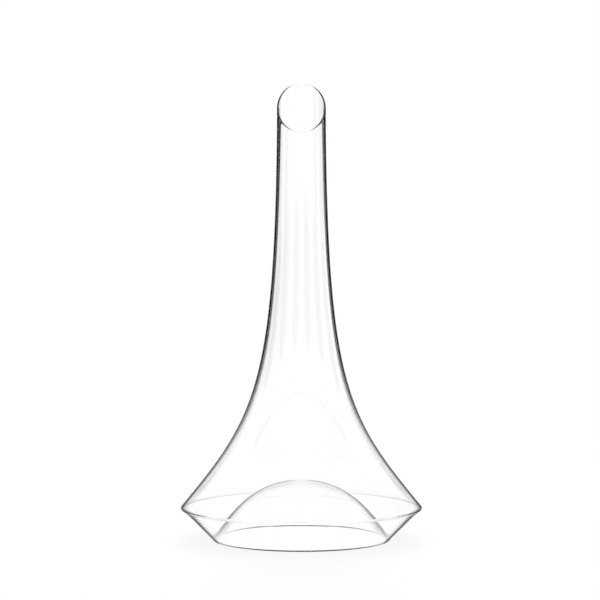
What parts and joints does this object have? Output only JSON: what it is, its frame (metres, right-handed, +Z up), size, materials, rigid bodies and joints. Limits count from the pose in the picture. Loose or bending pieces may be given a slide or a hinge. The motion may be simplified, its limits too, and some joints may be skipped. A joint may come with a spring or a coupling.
{
  "type": "decanter",
  "caption": "Clear blown-glass decanter: wide low body with a sharp shoulder, long curved wall, slim neck with a slanted mouth, base pushed up into a dome.",
  "frame": {"origin": "centre of the standing ring, on the plane that the decanter stands on", "axes": "+Z up along the neck's axis, -Y towards the low lip of the slanted mouth, +X to the right seen from the low lip"},
  "size_m": [0.1858, 0.1858, 0.35],
  "materials": {
    "clear_glass": "polished"
  },
  "bodies": {
    "root": {"decanter": "clear_glass"}
  },
  "joints": []
}
